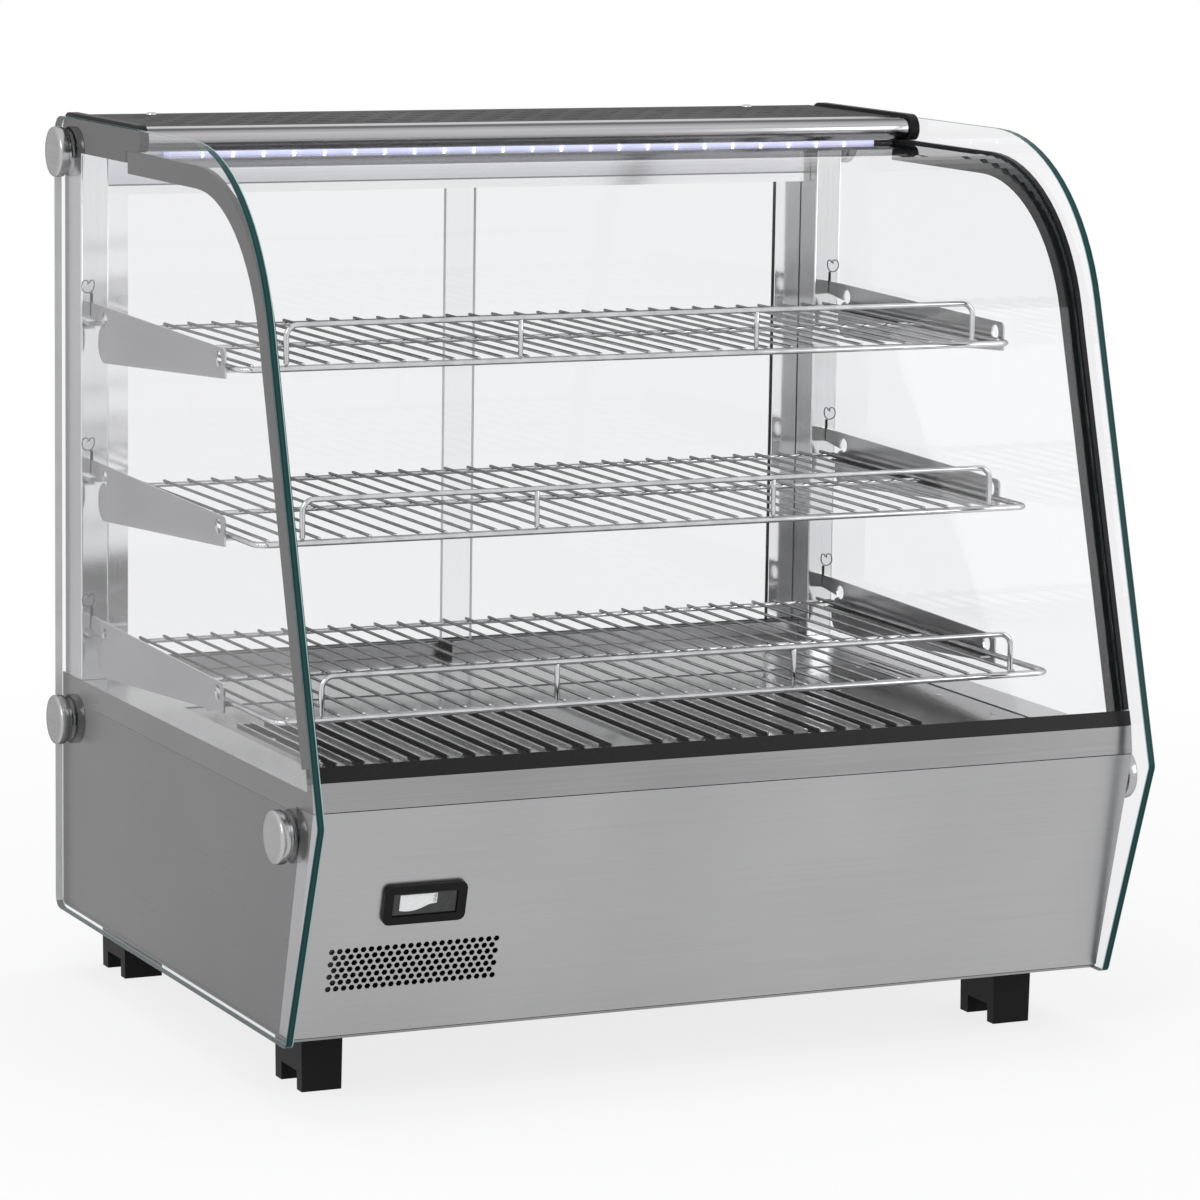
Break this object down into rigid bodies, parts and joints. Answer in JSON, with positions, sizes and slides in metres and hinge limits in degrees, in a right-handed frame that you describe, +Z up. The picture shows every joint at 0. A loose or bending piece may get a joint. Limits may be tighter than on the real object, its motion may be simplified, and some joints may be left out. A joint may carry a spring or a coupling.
{
  "type": "heated display case",
  "caption": "Counter-top heated display case with curved glass front, wire shelves on side brackets, lit ceiling, slotted warm deck and sliding rear doors.",
  "frame": {"origin": "centre of the overall box, on the plane the feet stand on", "axes": "+X to the right of someone who faces the curved glass, +Y from the glass front towards the sliding doors, +Z up"},
  "size_m": [0.6986, 0.5677, 0.686],
  "materials": {
    "steel": "brushed stainless sheet",
    "polished": "polished",
    "wire": "bright welded wire",
    "side_glass": "clear, polished edges",
    "front_glass": "clear, bent",
    "door_glass": "clear",
    "seal": "matt black",
    "trim": "matt black",
    "foot": "fine grain black",
    "cap": "polished",
    "led": "clear lens over light points",
    "display": "dark window",
    "heater": "heat-tinted tube"
  },
  "bodies": {
    "case": {"base_pan": "steel", "front_panel": "steel", "side_panel_left": "steel", "side_panel_right": "steel", "rear_panel": "steel", "chamber_floor": "steel", "deck_frame": "steel", "post_left": "steel", "post_right": "steel", "roof_panel": "steel", "door_rail_top": "steel", "door_track_bottom": "steel", "bracket_top_left": "steel", "bracket_top_right": "steel", "bracket_middle_left": "steel", "bracket_middle_right": "steel", "bracket_bottom_left": "steel", "bracket_bottom_right": "steel", "roof_nose": "polished", "side_glass_left": "side_glass", "side_glass_right": "side_glass", "curved_glass": "front_glass", "side_seal_left": "seal", "side_seal_right": "seal", "glass_gasket": "seal", "end_trim_left": "trim", "end_trim_right": "trim", "door_guide": "trim", "display_bezel": "trim", "switch_housing": "trim", "cable_gland": "trim", "fan_frame": "trim", "foot_front_left": "foot", "foot_front_right": "foot", "foot_rear_left": "foot", "foot_rear_right": "foot", "cap_rear_top_left": "cap", "cap_rear_top_right": "cap", "cap_rear_low_left": "cap", "cap_rear_low_right": "cap", "cap_front_left": "cap", "cap_front_right": "cap", "led_strip": "led", "display_window": "display", "heater_element": "heater"},
    "door_left_body": {"door_left": "door_glass", "door_stile_left": "steel"},
    "door_right_body": {"door_right": "door_glass", "door_stile_right": "steel"},
    "deck_plate_body": {"deck_plate": "steel"},
    "shelf_top_body": {"shelf_top": "wire", "guard_top": "wire"},
    "shelf_middle_body": {"shelf_middle": "wire", "guard_middle": "wire"},
    "shelf_bottom_body": {"shelf_bottom": "wire", "guard_bottom": "wire"},
    "thermostat_body": {"thermostat_knob": "trim"},
    "rocker_power_body": {"rocker_power": "trim"},
    "rocker_light_body": {"rocker_light": "trim"},
    "fan_body": {"fan_rotor": "trim"}
  },
  "joints": [
    {"name": "door_left_slide", "type": "slide", "parent": "case", "child": "door_left_body", "axis": [1, 0, 0], "range_m": [0, 0.285]},
    {"name": "door_right_slide", "type": "slide", "parent": "case", "child": "door_right_body", "axis": [1, 0, 0], "range_m": [-0.285, 0]},
    {"name": "deck_plate_lift", "type": "slide", "parent": "case", "child": "deck_plate_body", "axis": [0, 0, 1], "range_m": [0, 0.02]},
    {"name": "shelf_top_lift", "type": "slide", "parent": "case", "child": "shelf_top_body", "axis": [0, 0, 1], "range_m": [0, 0.03]},
    {"name": "shelf_middle_lift", "type": "slide", "parent": "case", "child": "shelf_middle_body", "axis": [0, 0, 1], "range_m": [0, 0.03]},
    {"name": "shelf_bottom_lift", "type": "slide", "parent": "case", "child": "shelf_bottom_body", "axis": [0, 0, 1], "range_m": [0, 0.03]},
    {"name": "thermostat_turn", "type": "hinge", "parent": "case", "child": "thermostat_body", "pos_m": [0.214, 0.266, 0.14], "axis": [0, 1, 0], "range_deg": [0, 270]},
    {"name": "rocker_power_tilt", "type": "hinge", "parent": "case", "child": "rocker_power_body", "pos_m": [0.2495, 0.2625, 0.14], "axis": [1, 0, 0], "range_deg": [0, 16]},
    {"name": "rocker_light_tilt", "type": "hinge", "parent": "case", "child": "rocker_light_body", "pos_m": [0.2745, 0.2625, 0.14], "axis": [1, 0, 0], "range_deg": [0, 16]},
    {"name": "fan_spin", "type": "hinge", "parent": "case", "child": "fan_body", "pos_m": [-0.165, -0.055, 0.177], "axis": [0, 0, 1], "continuous": true}
  ]
}
